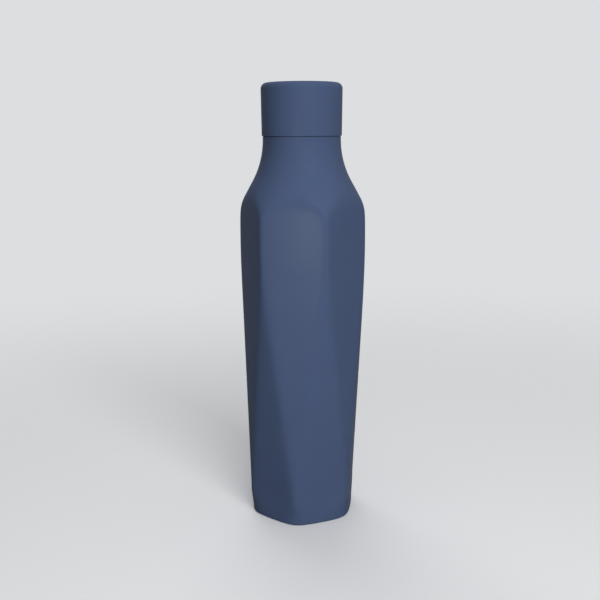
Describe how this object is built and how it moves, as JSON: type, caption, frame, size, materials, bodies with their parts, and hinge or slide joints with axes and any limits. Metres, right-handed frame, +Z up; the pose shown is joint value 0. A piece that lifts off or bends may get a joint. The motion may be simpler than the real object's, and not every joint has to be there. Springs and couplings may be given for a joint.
{
  "type": "insulated screw-cap bottle",
  "caption": "Faceted double-walled drinking bottle with a twisted hexagonal body, a round shoulder and a plain screw cap that unscrews and lifts off.",
  "frame": {"origin": "on the bottle's axis, in the plane it stands on", "axes": "+Z up along the axis, +X towards an upper ridge, -Y towards a lower ridge at the front"},
  "size_m": [0.0754, 0.0684, 0.26],
  "materials": {
    "coated_steel": "matte slate-blue powder coat",
    "bare_steel": "brushed stainless",
    "solder_glass": "dark opaque solder glass",
    "getter_alloy": "sintered dark grey metal",
    "copper_foil": "thin bright foil",
    "liner_plastic": "moulded food-grade plastic, dark grey",
    "foam": "expanded foam",
    "silicone": "soft silicone"
  },
  "bodies": {
    "bottle": {"outer_shell": "coated_steel", "outer_base": "bare_steel", "base_cover": "coated_steel", "vacuum_seal": "solder_glass", "getter": "getter_alloy", "inner_flask": "bare_steel", "inner_bottom": "bare_steel", "radiation_foil": "copper_foil"},
    "cap_core": {"cap_insulation": "foam", "cap_gasket": "silicone"},
    "cap": {"cap_shell": "coated_steel", "cap_liner": "liner_plastic"}
  },
  "joints": [
    {"name": "cap_rise", "type": "slide", "parent": "bottle", "child": "cap_core", "axis": [0, 0, 1], "range_m": [0, 0.036]},
    {"name": "cap_turn", "type": "hinge", "parent": "cap_core", "child": "cap", "pos_m": [0, 0, 0.24], "axis": [0, 0, 1], "range_deg": [0, 1080]}
  ],
  "couplings": [
    {"joint": "cap_rise", "follows": "cap_turn", "m_per_rad": 0.0019098}
  ]
}
